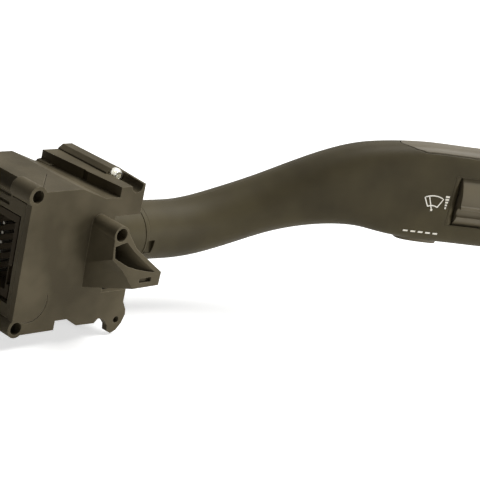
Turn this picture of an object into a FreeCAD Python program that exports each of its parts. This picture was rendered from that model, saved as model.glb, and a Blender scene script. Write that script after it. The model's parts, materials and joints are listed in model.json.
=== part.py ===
import FreeCAD, Part

import math
import os
import re

from FreeCAD import Placement, Rotation, Vector

# Combination stalk switch, the wiper side: a moulded case that sits on the column, a gimbal
# inside it, and a swan-neck lever that ends in a flat paddle. Millimetres, +Z up, +X out along
# the lever's root, -Y towards the driver. The origin is the centre of the seat on the case's back.

doc = FreeCAD.newDocument("StalkSwitch")
sheet = doc.addObject("Spreadsheet::Sheet", "Sizes")

# Driving dimensions, by the part of the object that they belong to.
SIZES = {
    # Case, seen from the driver
    "case_width": 43.0,
    "case_depth": 35.0,
    "case_top": 21.8,
    "case_bottom": 19.8,
    "case_wall": 2.2,
    "deck_top": 18.2,
    "deck_wall": 2.0,
    "deck_left": 4.0,
    "skirt_drop": 3.1,
    "cover_plate": 2.5,
    "mould_gap": 0.2,
    "lip_wall": 1.0,
    "seat_span": 24.0,
    "seat_rise": 0.6,
    # Lever opening at the right of the case
    "mouth_left": 11.5,
    "mouth_top": 12.2,
    "mouth_floor": 12.6,
    "mouth_back": 7.6,
    # Screw bosses of the case
    "corner_boss": 3.2,
    "corner_bore": 2.0,
    "corner_length": 9.0,
    "corner_ease": 0.7,
    "corner_inset": 1.8,
    "corner_rise": 1.3,
    "ear_bore": 1.1,
    "lower_drop": 0.8,
    # Left end: window, socket block
    "end_step": 2.4,
    "window_back": 5.6,
    "window_floor": 14.0,
    "window_top": 13.3,
    "socket_rear": 7.0,
    "socket_top": 12.4,
    "socket_low": 10.8,
    "socket_back": 12.6,
    "socket_wall": 1.6,
    # Rails on the deck
    "rail_height": 3.2,
    "rail_left": 8.4,
    "rail_taper": 3.6,
    "rail_step": 0.56,
    "rail_recess": 1.3,
    "tunnel_right": 21.5,
    "tunnel_roof": 1.8,
    "tunnel_bore": 2.15,
    "tunnel_across": 18.4,
    # Bright screw in its channel
    "fix_head": 2.05,
    "fix_head_length": 2.2,
    "fix_shank": 1.1,
    "fix_length": 20.0,
    "fix_front": 25.8,
    # Bracket for the column shroud
    "bracket_reach": 10.5,
    "bracket_tube": 2.8,
    "bracket_bore": 2.1,
    "bracket_across": 5.5,
    "bracket_up": 10.6,
    "bracket_wall": 1.1,
    "bracket_tip": 24.6,
    # Gimbal
    "pivot_across": 5.0,
    "ring_length": 10.0,
    "ring_height": 19.0,
    "ring_wall": 2.6,
    "trunnion": 2.2,
    "bearing_boss": 4.0,
    "pin_fit": 0.06,
    "cross_pin": 1.6,
    # Arm and detent
    "arm_width": 10.4,
    "arm_height": 12.6,
    "arm_core": 7.1,
    "barrel": 3.5,
    "barrel_reach": 11.5,
    "plunger": 1.5,
    "detent_radius": 13.7,
    "detent_depth": 0.7,
    "detent_step": 6.0,
    "gate_width": 6.4,
    # Sliding contacts
    "board": 1.6,
    "board_depth": 5.0,
    "finger_reach": 9.0,
    "finger": 0.9,
    # Lever
    "neck_radius": 9.4,
    "sleeve_start": 13.2,
    "sleeve_end": 31.5,
    "ring_end": 33.4,
    "shell_wall": 2.2,
    "sweep_angle": 30.0,
    "sweep_start": 27.5,
    "sweep_end": 92.5,
    "rise_start": 47.6,
    "rise_end": 113.6,
    "lever_rise": 21.0,
    "swell_start": 74.0,
    "swell_end": 130.0,
    "paddle_reach": 98.1,
    "paddle_half": 16.5,
    "paddle_thick": 7.6,
    "paddle_tail": 45.0,
    "cap_start": 37.5,
    # Paddle controls
    "control_gap": 0.35,
    "wheel_radius": 11.0,
    "wheel_width": 16.4,
    "wheel_centre": 24.0,
    "wheel_set": 1.2,
    "wheel_pin": 1.5,
    "valley_turn": -18.0,
    "rocker_left": -6.5,
    "rocker_right": 36.0,
    "rocker_depth": 2.6,
    "rocker_side": 5.2,
    "rocker_sink": 1.2,
    "button_left": -1.4,
    "button_right": 14.0,
    "button_depth": 2.2,
    "button_side": 4.4,
    "button_travel": 0.9,
    "pin_radius": 1.0,
}
# Sizes that follow from the driving ones.
SIZES.update({
    "pivot_depth": "=case_depth * 4 / 7",
    "ring_width": "=case_depth / 2 + 0.5",
    "mouth_front": "=case_depth - 2.8",
    "window_front": "=case_depth - 3.8",
    "socket_front": "=case_depth - 5.6",
})
for row, (alias, size) in enumerate(SIZES.items(), start=1):
    sheet.set("A%d" % row, alias)
    sheet.set("B%d" % row, str(size))
    sheet.setAlias("B%d" % row, alias)
doc.recompute()


def val(alias):
    """Return the sheet's value of one driving dimension."""
    return float(sheet.get(alias))


def bound(text):
    """Return an expression in which each alias names its cell in the sheet."""
    def named(found):
        word = found.group(0)
        return "Sizes." + word if word in SIZES else word

    return re.sub(r"[a-z]+_?[a-z_]*[a-z]", named, str(text))


def box(name, x_span, y_span, z_span):
    """Return a box between bound limits along X, Y and Z."""
    solid = doc.addObject("Part::Box", name)
    for side, letter, (low, high) in zip(("Length", "Width", "Height"), "xyz", (x_span, y_span, z_span)):
        solid.setExpression(side, bound("(%s) - (%s)" % (high, low)))
        solid.setExpression("Placement.Base." + letter, bound(low))
    return solid


TURN = {
    "x": Rotation(Vector(0, 1, 0), 90),
    "y": Rotation(Vector(1, 0, 0), -90),
    "z": Rotation(),
}


def rod(name, axis, radius, span, at):
    """Return a cylinder along a row axis, from span[0] to span[1], centred on the two other coordinates."""
    solid = doc.addObject("Part::Cylinder", name)
    solid.Placement = Placement(Vector(), TURN[axis])
    solid.setExpression("Radius", bound(radius))
    solid.setExpression("Height", bound("(%s) - (%s)" % (span[1], span[0])))
    places = dict(zip([letter for letter in "xyz" if letter != axis], at))
    places[axis] = span[0]
    for letter, place in places.items():
        solid.setExpression("Placement.Base." + letter, bound(place))
    return solid


def shape(name, made):
    """Return a feature that holds a shape made from the sheet's sizes."""
    feature = doc.addObject("Part::Feature", name)
    feature.Shape = made
    return feature


def fuse(name, solids):
    """Return the union of several solids."""
    union = doc.addObject("Part::MultiFuse", name)
    union.Shapes = solids
    union.Refine = True
    return union


def cut(name, base, tools):
    """Return the base with every tool taken away."""
    tool = tools[0] if len(tools) == 1 else fuse(name + "_tools", tools)
    rest = doc.addObject("Part::Cut", name)
    rest.Base = base
    rest.Tool = tool
    return rest


def common(name, first, second):
    """Return what two solids share."""
    both = doc.addObject("Part::Common", name)
    both.Base = first
    both.Tool = second
    return both


def group(name, solids):
    """Return separate like solids as one node."""
    together = doc.addObject("Part::Compound", name)
    together.Links = solids
    return together


def prism(points, along, plane="xz"):
    """Return a solid with a polygon outline in a plane, between two places on the third axis."""
    low, high = along
    if plane == "xz":
        corners = [Vector(a, low, b) for a, b in points]
        step = Vector(0, high - low, 0)
    else:
        corners = [Vector(a, b, low) for a, b in points]
        step = Vector(0, 0, high - low)
    return Part.Face(Part.makePolygon(corners + corners[:1])).extrude(step)


nodes = {}


def node(name, finished):
    """Register a finished sub-part under its file name."""
    finished.Label = name
    nodes[name] = finished
    return finished


# Values that several pieces share.
HALF = val("case_width") / 2
FRONT = -val("case_depth")
PIVOT = Vector(val("pivot_across"), -val("pivot_depth"), 0)
PIVOT_AT = ("pivot_across", "0")


def skirt_outline():
    """Return the lower edge of the front plate: flange, notch, tab, arch and screw ear."""
    low = -val("case_bottom") - val("skirt_drop")
    base = -val("case_bottom")
    return [
        (-HALF, base + 3.0), (-HALF, low + 2.0), (-19.4, low), (-5.1, low), (-5.1, base - 0.1), (-0.4, base - 0.1),
        (3.6, low + 0.4), (10.8, low + 0.2), (12.2, base - 1.5), (13.6, base - 1.7), (15.0, base - 2.7),
        (16.4, base - 4.3), (16.7, base - 6.3), (18.4, base - 7.2), (20.4, base - 6.4), (22.2, base - 4.2),
        (23.2, base - 1.4), (23.0, base + 0.3), (HALF, base + 3.0),
    ]


def main_housing():
    """The moulded case: walls, deck, rails, skirt, bosses, front bearing and shroud bracket."""
    outer = box("case_block", ("-case_width/2", "case_width/2"), ("-case_depth", "0"), ("-case_bottom", "case_top"))
    cover_seat = box("cover_seat", ("-case_width/2 - 1", "case_width/2 + 1"), ("-cover_plate", "1"),
                     ("-case_bottom - 1", "deck_top - lip_wall"))
    left_relief = box("end_relief", ("-case_width/2 - 1", "-case_width/2 + case_wall"),
                      ("-case_depth + case_wall", "-cover_plate"), ("-case_bottom - 1", "case_top - end_step + mould_gap"))
    slope = shape("deck_slope", prism(
        [(-3.0, val("case_top")), (-3.0, val("case_top") + 5), (HALF + 5, val("case_top") + 5),
         (HALF + 5, val("deck_top")), (val("deck_left") + 2.5, val("deck_top"))],
        (FRONT - 1, 1)))
    cavity = box("case_cavity", ("-case_width/2 - 1", "case_width/2 - case_wall"),
                 ("-case_depth + case_wall", "1"), ("-case_bottom + case_wall", "deck_top - deck_wall"))
    mouth = box("lever_mouth", ("case_width/2 - case_wall - 1", "case_width/2 + 1"),
                ("-mouth_front", "-mouth_back"), ("-mouth_floor", "deck_top - deck_wall"))
    front_mouth = box("front_mouth", ("mouth_left", "case_width/2 + 1"),
                      ("-case_depth - 1", "-case_depth + case_wall + 1"), ("-mouth_floor", "mouth_top"))
    shell = cut("case_shell", outer, [cover_seat, left_relief, slope, cavity, mouth, front_mouth])
    skirt = shape("skirt", prism(skirt_outline(), (FRONT, FRONT + val("case_wall"))))

    corner_y = ("-case_depth", "-case_depth + corner_length")
    upper_at = ("-case_width/2 + corner_inset", "case_top - corner_rise")
    lower_at = ("-case_width/2 + corner_inset", "-case_bottom - lower_drop")
    upper_boss = rod("upper_boss", "y", "corner_boss", corner_y, upper_at)
    lower_boss = rod("lower_boss", "y", "corner_boss - 0.2", corner_y, lower_at)
    through = ("-case_depth - 1", "-case_depth + corner_length + 1")
    upper_bore = rod("upper_bore", "y", "corner_bore", through, upper_at)
    lower_bore = rod("lower_bore", "y", "corner_bore", through, lower_at)
    behind = ("-case_depth + corner_length - 0.5", "1")
    channels = [rod("upper_channel", "y", "corner_bore + corner_ease", behind, upper_at),
                rod("lower_channel", "y", "corner_bore + corner_ease", behind, lower_at)]
    ear_bore = rod("ear_hole", "y", "ear_bore", ("-case_depth - 1", "-case_depth + case_wall + 1"),
                   ("19.7", "-case_bottom - 2.8"))
    bearing = rod("front_bearing", "y", "bearing_boss",
                  ("-case_depth + case_wall", "-pivot_depth - ring_width/2 - 0.3"), ("pivot_across", "0"))
    bearing_bore = rod("front_bearing_bore", "y", "trunnion + pin_fit",
                       ("-case_depth + 1.2", "-pivot_depth - ring_width/2 + 1"), ("pivot_across", "0"))
    body = fuse("case_body", [shell, skirt, upper_boss, lower_boss, bearing, deck_rails(), bracket()])
    axis_at = ("tunnel_across", "deck_top + rail_height")
    channel = rod("screw_channel", "y", "tunnel_bore", ("-case_depth - 1", "-fix_front + fix_head_length"), axis_at)
    screw_hole = rod("screw_hole", "y", "fix_shank + 0.02", ("-fix_front", "1"), axis_at)
    trough = box("screw_trough", ("tunnel_across - tunnel_bore", "tunnel_across + tunnel_bore"),
                 ("-case_depth - 1", "-fix_front + fix_head_length"),
                 ("deck_top + rail_height", "deck_top + rail_height + 5"))
    seam = shape("top_seam", seam_groove())
    mark = shape("mould_mark", mould_mark())
    tube_bore = rod("bracket_bore", "y", "bracket_bore",
                    ("-case_depth - bracket_reach - 1", "-case_depth + case_wall - 1.2"),
                    ("bracket_across", "bracket_up"))
    return node("main_housing", cut("case_finished", body, channels + [upper_bore, lower_bore, ear_bore,
                                                                       bearing_bore, channel, screw_hole, trough,
                                                                       tube_bore, seam, mark]))


def seam_groove():
    """The fine joint line that runs slantwise over the top, from the rail's foot to the corner boss."""
    width = 0.2
    depth = 0.3
    start = (-6.5, -21.3)
    end = (-18.6, -34.6)
    line = [start, end, (end[0] + width, end[1] - width), (start[0] + width, start[1] - width)]
    return prism(line, (val("case_top") - depth, val("case_top") + 1), "xy")


def mould_mark():
    """The shallow arc that an ejector left on the front face."""
    radius = 6.5
    width = 0.25
    depth = 0.25
    at = Vector(-16.0, FRONT - 1, -12.8)
    ring = Part.makeCylinder(radius, 1 + depth, at, Vector(0, 1, 0))
    ring = ring.cut(Part.makeCylinder(radius - width, 3, at - Vector(0, 1, 0), Vector(0, 1, 0)))
    kept = Part.makeBox(2 * radius, 4, 1.4 * radius, Vector(-18.0, FRONT - 2, -12.8 - 1.1 * radius))
    return ring.common(kept)


def slanted(back, front, back_at, front_at):
    """Return the solid between a four-cornered outline at the back and one at the front of the deck."""
    outlines = []
    for corners, place in ((back, back_at), (front, front_at)):
        points = [Vector(across, place, up) for across, up in corners]
        outlines.append(Part.makePolygon(points + points[:1]))
    return Part.makeLoft(outlines, True, True)


def deck_rails():
    """The stepped guide rail and the screw tunnel on the deck, as one moulding."""
    floor = val("deck_top") - 0.5
    top = val("deck_top") + val("rail_height")
    left = val("rail_left")
    front_left = left + val("rail_taper")
    right = val("tunnel_right")
    roof = top + val("tunnel_roof")
    mouth = -val("fix_front") + val("fix_head_length")
    rail = slanted([(left, floor), (right, floor), (right, top + 0.2), (left, top + 0.2)],
                   [(front_left, floor), (right, floor), (right, top), (front_left, top)], 0.0, FRONT)
    tunnel = prism([(15.0, top - 0.5), (15.2, roof - 1.2), (16.8, roof), (right - 1.1, roof), (right, roof - 0.6),
                    (right, top - 0.5)], (mouth, 0.0))
    wall = slanted([(right - 2.0, top - 0.5), (right, top - 0.5), (right, roof - 0.6), (right - 2.0, roof - 0.6)],
                   [(right - 2.0, top - 0.5), (right, top - 0.5), (right, top + 0.6), (right - 2.0, top + 0.6)],
                   mouth, FRONT)
    step = FRONT * val("rail_step")
    share = val("rail_step")
    edge = left + val("rail_taper") * share
    setback = prism([(left - 1, 1.0), (left - 1, step), (edge + 0.5, step), (left + 0.5, 1.0)],
                    (floor + 0.5, top + 1), "xy")
    recess = Part.makeCylinder(val("rail_recess"), top - floor - 0.6, Vector(edge + 0.3, step, floor + 0.5))
    foot = slanted([(left - 1.6, floor), (left + 1, floor), (left + 1, floor + 1.3), (left - 1.0, floor + 1.0)],
                   [(left - 1.0, floor), (left + 1, floor), (left + 1, floor + 1.0), (left - 0.4, floor + 0.8)],
                   0.0, -6.0)
    rails = rail.cut(setback).cut(recess).fuse([tunnel, wall, foot]).removeSplitter()
    return shape("deck_rails", rails)


def bracket():
    """The shroud bracket: a screw tube on a three-cornered web that is open to the front."""
    reach = FRONT - val("bracket_reach")
    wall = val("bracket_wall")
    tip = val("bracket_tip")
    across = val("bracket_across")
    up = val("bracket_up")
    tube_radius = val("bracket_tube")
    left = across - tube_radius

    def section(place, points):
        corners = [Vector(a, place, b) for a, b in points]
        return Part.makePolygon(corners + corners[:1])

    root = section(FRONT + 0.5, [(left, up), (left, -2.0), (left, -6.0), (left, -10.0), (11.4, -10.0),
                                 (11.4, -6.0), (11.4, 4.0), (across + 1.0, up + 1.0)])
    mouth = section(reach, [(left + 0.2, up), (left + 0.9, 3.0), (8.4, -0.9), (14.0, -7.5), (tip - 0.2, -7.3),
                            (tip, -3.0), (12.6, 5.6), (across + 2.2, up + 1.2)])
    web = Part.makeLoft([root, mouth], True, True)
    inner_root = section(FRONT - 1.5, [(left + wall, up - 3.2), (left + wall, -1.0), (6.0, -4.0), (8.5, -6.0),
                                       (9.6, -6.0), (10.4, -4.0), (10.4, 2.0), (across + 1.9, up - 3.4)])
    inner_mouth = section(reach - 0.5, [(left + wall, up - 3.6), (left + wall + 0.6, 3.6), (10.4, 0.4),
                                        (14.2, -0.8), (19.0, -2.0), (22.8, -2.8), (12.4, 4.5),
                                        (across + 2.7, up - 2.4)])
    pocket = Part.makeLoft([inner_root, inner_mouth], True, True)
    foot = prism([(16.0, -5.8), (16.0, -4.3), (20.8, -4.3), (20.8, -5.8)], (reach - 1, reach + 1.3))
    tube = Part.makeCylinder(tube_radius, val("bracket_reach") + 0.5, Vector(across, reach, up), Vector(0, 1, 0))
    made = web.cut(pocket).cut(foot).fuse(tube).removeSplitter()
    return shape("shroud_bracket", made)


def end_cover():
    """The left end of the case: a plate with the socket window and the slots of its moulding."""
    plate = box("end_plate", ("-case_width/2", "-case_width/2 + case_wall - mould_gap"),
                ("-case_depth + case_wall + mould_gap", "-cover_plate"), ("-case_bottom", "case_top - end_step"))
    window = box("end_window", ("-case_width/2 - 1", "-case_width/2 + case_wall + 1"),
                 ("-window_front", "-window_back"), ("-window_floor", "window_top"))
    clear = ("-case_depth - 1", "-case_depth + corner_length + mould_gap")
    bosses = [
        rod("upper_clear", "y", "corner_boss + mould_gap", clear,
            ("-case_width/2 + corner_inset", "case_top - corner_rise")),
        rod("lower_clear", "y", "corner_boss", clear,
            ("-case_width/2 + corner_inset", "-case_bottom - lower_drop")),
        rod("upper_passage", "y", "corner_bore + corner_ease", ("-case_depth - 1", "1"),
            ("-case_width/2 + corner_inset", "case_top - corner_rise")),
        rod("lower_passage", "y", "corner_bore + corner_ease", ("-case_depth - 1", "1"),
            ("-case_width/2 + corner_inset", "-case_bottom - lower_drop")),
    ]
    slots = []
    for number, level in enumerate((14.6, 17.0, -18.6, -16.4)):
        slots.append(box("end_slot_%d" % number, ("-case_width/2 - 1", "-case_width/2 + 0.9"),
                         ("-case_depth + corner_length + 1", "-%d" % (12 + number)), (level, level + 1.0)))
    return node("end_cover", cut("end_finished", plate, [window] + bosses + slots))


def connector_housing():
    """The socket block behind the end window, open to the left, with a key and a foot on the case floor."""
    across = ("-case_width/2 + 1.1", "-socket_back")
    block = box("socket_block", across, ("-socket_front", "-socket_rear"), ("-case_bottom + case_wall", "socket_top"))
    hollow = box("socket_hollow", ("-case_width/2 - 1", "-socket_back - socket_wall"),
                 ("-socket_front + socket_wall", "-socket_rear - socket_wall"), ("-socket_low", "socket_top - 2.2"))
    catch = box("socket_catch", ("-case_width/2 - 1", "-case_width/2 + 2.3"),
                ("-socket_front - 1", "-socket_front + 1.2"), ("-9.0", "-3.0"))
    relief = box("socket_relief", ("-case_width/2 - 1", "-case_width/2 + 3.5"),
                 ("-socket_front + 5.4", "-socket_rear - 5.0"), ("-case_bottom", "-socket_low - 3.0"))
    step = box("socket_step", ("-case_width/2 - 1", "-case_width/2 + case_wall"),
               ("-socket_front - 1", "-socket_rear + 1"), ("-case_bottom", "-window_floor + 0.8"))
    opened = cut("socket_open", block, [hollow, catch, relief, step])
    key = box("socket_key", ("-case_width/2 + 1.6", "-socket_back - socket_wall"),
              ("-19.0", "-17.4"), ("socket_top - 3.8", "socket_top - 2.2"))
    return node("connector_housing", fuse("socket_finished", [opened, key]))


def connector_pins():
    """Two columns of blade terminals that stand on the socket's floor."""
    blades = []
    middle = -(val("socket_front") + val("socket_rear")) / 2
    for column, across in enumerate((middle - 3.0, middle + 3.0)):
        for row in range(6):
            level = -7.5 + 3.0 * row
            blades.append(box("blade_%d_%d" % (column, row), ("-19.2", "-socket_back - socket_wall"),
                              (across - 0.4, across + 0.4), (level - 0.4, level + 0.4)))
    return node("connector_pins", group("blades", blades))


def back_cover():
    """The back plate with its raised seat, the rear bearing and the posts under the circuit board."""
    plate = box("back_plate", ("-case_width/2", "case_width/2"), ("-cover_plate", "-seat_rise"),
                ("-case_bottom", "deck_top - lip_wall - mould_gap"))
    seat = box("seat_pad", ("-seat_span/2", "seat_span/2"), ("-seat_rise - 0.1", "0"), ("-seat_span/2", "seat_span/2"))
    bearing = rod("rear_bearing", "y", "bearing_boss", ("-pivot_depth + ring_width/2 + 0.3", "-cover_plate + 0.1"),
                  ("pivot_across", "0"))
    bearing_bore = rod("rear_bearing_bore", "y", "trunnion + pin_fit",
                       ("-pivot_depth + ring_width/2 - 1", "-cover_plate - 1.0"), ("pivot_across", "0"))
    posts = []
    screws = []
    for number, (across, up) in enumerate(COVER_SCREWS):
        posts.append(rod("board_post_%d" % number, "y", "2.6", ("-board_depth", "-cover_plate + 0.1"), (across, up)))
        screws.append(rod("cover_hole_%d" % number, "y", "1.3", ("-board_depth - 1", "1"), (across, up)))
        screws.append(rod("cover_sink_%d" % number, "y", "2.5", ("-1.9", "1"), (across, up)))
    corner = rod("back_corner", "y", "corner_bore + corner_ease", ("-cover_plate - 1", "1"),
                 ("-case_width/2 + corner_inset", "-case_bottom - lower_drop"))
    body = fuse("back_body", [plate, seat, bearing] + posts)
    return node("back_cover", cut("back_finished", body, [bearing_bore, corner] + screws))


COVER_SCREWS = [(across, up) for across in (6.0 - HALF, HALF - 6.0)
                for up in (5.2 - val("case_bottom"), val("deck_top") - 5.6)]


def cover_screws():
    """Four pan-head screws that hold the circuit board and the back cover."""
    screws = []
    for number, (across, up) in enumerate(COVER_SCREWS):
        head = rod("cover_head_%d" % number, "y", "2.3", ("-1.9", "-0.5"), (across, up))
        shank = rod("cover_shank_%d" % number, "y", "1.2", ("-board_depth - board", "-1.8"), (across, up))
        screws.append(fuse("cover_screw_%d" % number, [head, shank]))
    return node("cover_screws", group("cover_screw_set", screws))


def circuit_board():
    """The board on the cover's posts, cleared round the rear bearing."""
    plate = box("board_plate", ("-case_width/2 + 2.9", "case_width/2 - 2.9"), ("-board_depth - board", "-board_depth"), ("-17.2", "15.4"))
    holes = [rod("board_clear", "y", "bearing_boss + 0.5", ("-board_depth - board - 1", "-board_depth + 1"),
                 ("pivot_across", "0"))]
    for number, (across, up) in enumerate(COVER_SCREWS):
        holes.append(rod("board_hole_%d" % number, "y", "1.5", ("-board_depth - board - 1", "-board_depth + 1"),
                         (across, up)))
    return node("circuit_board", cut("board_finished", plate, holes))


def contact_tracks():
    """Three copper tracks on the front of the board, under the sliding contacts."""
    tracks = []
    for number in range(3):
        across = -7.0 + 2.4 * number
        tracks.append(box("track_%d" % number, (across - 0.7, across + 0.7),
                          ("-board_depth - board - 0.12", "-board_depth - board"), ("-9.4", "6.2")))
    return node("contact_tracks", group("track_set", tracks))


def contact_carriage():
    """The slider that the gimbal's finger drives up and down over the tracks."""
    block = box("carriage_block", ("-7.9", "-0.6"), ("-board_depth - board - 2.6", "-board_depth - board - 0.9"),
                ("-3.5", "3.5"))
    slot = box("carriage_slot",
               ("pivot_across - finger_reach - finger - 0.2", "pivot_across - finger_reach + finger + 0.9"),
               ("-board_depth - board - 3", "-board_depth - board"), ("-finger - 0.25", "finger + 0.25"))
    return node("contact_carriage", cut("carriage_finished", block, [slot]))


def wiper_contacts():
    """Sprung leaves under the carriage, each with a tip just off its track."""
    leaves = []
    for number in range(3):
        across = -7.0 + 2.4 * number
        for side, (low, high) in enumerate(((-3.2, -1.5), (1.5, 3.2))):
            strip = box("leaf_%d_%d" % (number, side), (across - 0.4, across + 0.4),
                        ("-board_depth - board - 0.9", "-board_depth - board - 0.7"), (low, high))
            tip = box("leaf_tip_%d_%d" % (number, side), (across - 0.4, across + 0.4),
                      ("-board_depth - board - 0.8", "-board_depth - board - 0.2"),
                      (low if side == 0 else high - 0.5, low + 0.5 if side == 0 else high))
            leaves.append(fuse("leaf_whole_%d_%d" % (number, side), [strip, tip]))
    return node("wiper_contacts", group("leaf_set", leaves))


def carriage_guide():
    """The frame that guides the carriage, on the board."""
    outer = box("guide_outer", ("-9.4", "0.6"), ("-board_depth - board - 2.0", "-board_depth - board"),
                ("-11.2", "7.6"))
    inner = box("guide_inner", ("-8.1", "-0.4"), ("-board_depth - board - 3", "-board_depth - board + 1"),
                ("-9.9", "6.4"))
    return node("carriage_guide", cut("guide_finished", outer, [inner]))


def wash_switch():
    """The small switch that the pulled lever presses through the lug on its barrel."""
    body = box("wash_body", ("-8.6", "-1.2"), ("-12.6", "-board_depth - board"), ("9.0", "13.0"))
    button = box("wash_button", ("-3.0", "-1.4"), ("-13.3", "-12.5"), ("9.0", "10.0"))
    return node("wash_switch", fuse("wash_finished", [body, button]))


def detent_gate():
    """The notched arc round the pivot, on the back of the socket block."""
    depth = (-val("pivot_depth") - val("gate_width") / 2, -val("pivot_depth") + val("gate_width") / 2)
    block = box("gate_block", ("-socket_back", "pivot_across - detent_radius + 2.4"),
                ("-pivot_depth - gate_width/2", "-pivot_depth + gate_width/2"), ("-8.4", "4.2"))
    sweep = rod("gate_sweep", "y", "detent_radius", (depth[0] - 1, depth[1] + 1), PIVOT_AT)
    notches = []
    for stage in range(-1, 4):
        turn = math.radians(180 + stage * val("detent_step"))
        reach = val("detent_radius") + 0.1
        notches.append(rod("gate_notch_%d" % (stage + 1), "y", "detent_depth - 0.1", (depth[0] - 1, depth[1] + 1),
                           ("pivot_across + (%f)" % (reach * math.cos(turn)), "%f" % (reach * math.sin(turn)))))
    return node("detent_gate", cut("gate_finished", block, [sweep] + notches))


def gimbal_ring():
    """The square ring that turns on two trunnions and carries the arm on the cross pin."""
    length = ("pivot_across - ring_length/2", "pivot_across + ring_length/2")
    outer = box("ring_outer", length, ("-pivot_depth - ring_width/2", "-pivot_depth + ring_width/2"),
                ("-ring_height/2", "ring_height/2"))
    inner = box("ring_inner", ("pivot_across - ring_length/2 - 1", "pivot_across + ring_length/2 + 1"),
                ("-pivot_depth - ring_width/2 + ring_wall", "-pivot_depth + ring_width/2 - ring_wall"),
                ("-ring_height/2 + ring_wall", "ring_height/2 - ring_wall"))
    pin_hole = rod("ring_pin_hole", "z", "cross_pin", ("-ring_height/2 - 1", "ring_height/2 + 1"),
                   ("pivot_across", "-pivot_depth"))
    front = rod("front_trunnion", "y", "trunnion", ("-case_depth + 1.6", "-pivot_depth - ring_width/2 + 0.5"),
                PIVOT_AT)
    rear = rod("rear_trunnion", "y", "trunnion", ("-pivot_depth + ring_width/2 - 0.5", "-cover_plate - 1.5"),
               PIVOT_AT)
    ear = box("finger_ear", ("pivot_across - finger_reach - 1.4", "pivot_across - ring_length/2 + 0.5"),
              ("-pivot_depth + ring_width/2 - 2.2", "-pivot_depth + ring_width/2"), ("-2.0", "2.0"))
    pin = rod("ring_finger", "y", "finger", ("-pivot_depth + ring_width/2 - 0.5", "-board_depth - board - 1.1"),
              ("pivot_across - finger_reach", "0"))
    frame = cut("ring_frame", outer, [inner, pin_hole])
    return node("gimbal_ring", fuse("ring_finished", [frame, front, rear, ear, pin]))


def cross_pin():
    """The steel pin that the arm swings on, pressed into the ring."""
    return node("cross_pin", rod("cross_pin_rod", "z", "cross_pin", ("-ring_height/2", "ring_height/2"),
                                 ("pivot_across", "-pivot_depth")))


def return_spring():
    """Two leaf springs on the ring that bring the pulled arm back to the middle."""
    leaves = []
    root = "pivot_across - ring_length/2"
    for side in (-1, 1):
        near = -val("pivot_depth") + side * (val("barrel") + 0.3)
        far = near + side * 0.4
        foot = -val("pivot_depth") + side * (val("ring_width") / 2 - 2.2)
        leaf = box("leaf_spring_%d" % (side + 1), (root + " - 6.0", root), (min(near, far), max(near, far)),
                   ("-1.6", "1.6"))
        heel = box("leaf_heel_%d" % (side + 1), (root + " - 0.8", root), (min(near, foot), max(near, foot)),
                   ("-1.6", "1.6"))
        leaves.append(fuse("leaf_whole_spring_%d" % (side + 1), [leaf, heel]))
    return node("return_spring", group("leaf_spring_pair", leaves))


def core_arm():
    """The stiff arm: detent barrel, swing block, round shoulder and the tongue inside the lever."""
    block = box("arm_block", ("pivot_across - ring_length/2 + 1.0", "pivot_across + ring_length/2 + 2.0"),
                ("-pivot_depth - arm_width/2", "-pivot_depth + arm_width/2"), ("-arm_height/2", "arm_height/2"))
    barrel = rod("arm_barrel", "x", "barrel", ("pivot_across - barrel_reach", "pivot_across"), ("-pivot_depth", "0"))
    lug = box("wash_lug", ("pivot_across - 8.4", "pivot_across - 6.0"), ("-pivot_depth", "-pivot_depth + 5.4"),
              ("1.9", "10.2"))
    shoulder = rod("arm_shoulder", "x", "arm_core", ("pivot_across + ring_length/2 + 1.5", "ring_end + 0.2"),
                   ("-pivot_depth", "0"))
    tongue = box("arm_tongue", ("ring_end - 1", "ring_end + 22.0"), ("-pivot_depth - 3.4", "-pivot_depth + 2.2"),
                 ("-4.2", "4.2"))
    bore = rod("barrel_bore", "x", "plunger + pin_fit", ("pivot_across - barrel_reach - 1", "pivot_across - 4.0"),
               ("-pivot_depth", "0"))
    pin_hole = rod("arm_pin_hole", "z", "cross_pin + pin_fit", ("-arm_height", "arm_height"),
                   ("pivot_across", "-pivot_depth"))
    body = fuse("arm_body", [block, barrel, lug, shoulder, tongue])
    return node("core_arm", cut("arm_finished", body, [bore, pin_hole]))


def detent_plunger():
    """The sprung pin with a rounded nose that runs along the notched gate."""
    nose_at = PIVOT.x - val("detent_radius") + 0.12
    rear = PIVOT.x - val("barrel_reach") + 3.4
    radius = val("plunger")
    body = doc.addObject("PartDesign::Body", "plunger_body")
    sketch = body.newObject("Sketcher::SketchObject", "plunger_profile")
    plane = [item for item in body.Origin.OriginFeatures if item.Role == "XY_Plane"][0]
    sketch.AttachmentSupport = [(plane, "")]
    sketch.MapMode = "FlatFace"
    length = rear - nose_at
    tip = 0.55
    corners = [(0, 0), (0.2, tip), (1.4, radius), (length, radius), (length, 0)]
    for (ax, ay), (bx, by) in zip(corners, corners[1:] + corners[:1]):
        sketch.addGeometry(Part.LineSegment(Vector(ax, ay, 0), Vector(bx, by, 0)), False)
    spin = body.newObject("PartDesign::Revolution", "plunger_turned")
    spin.Profile = sketch
    spin.ReferenceAxis = (sketch, ["H_Axis"])
    spin.Angle = 360
    body.Placement = Placement(Vector(nose_at, -val("pivot_depth"), 0), Rotation())
    return node("detent_plunger", body)


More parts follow.
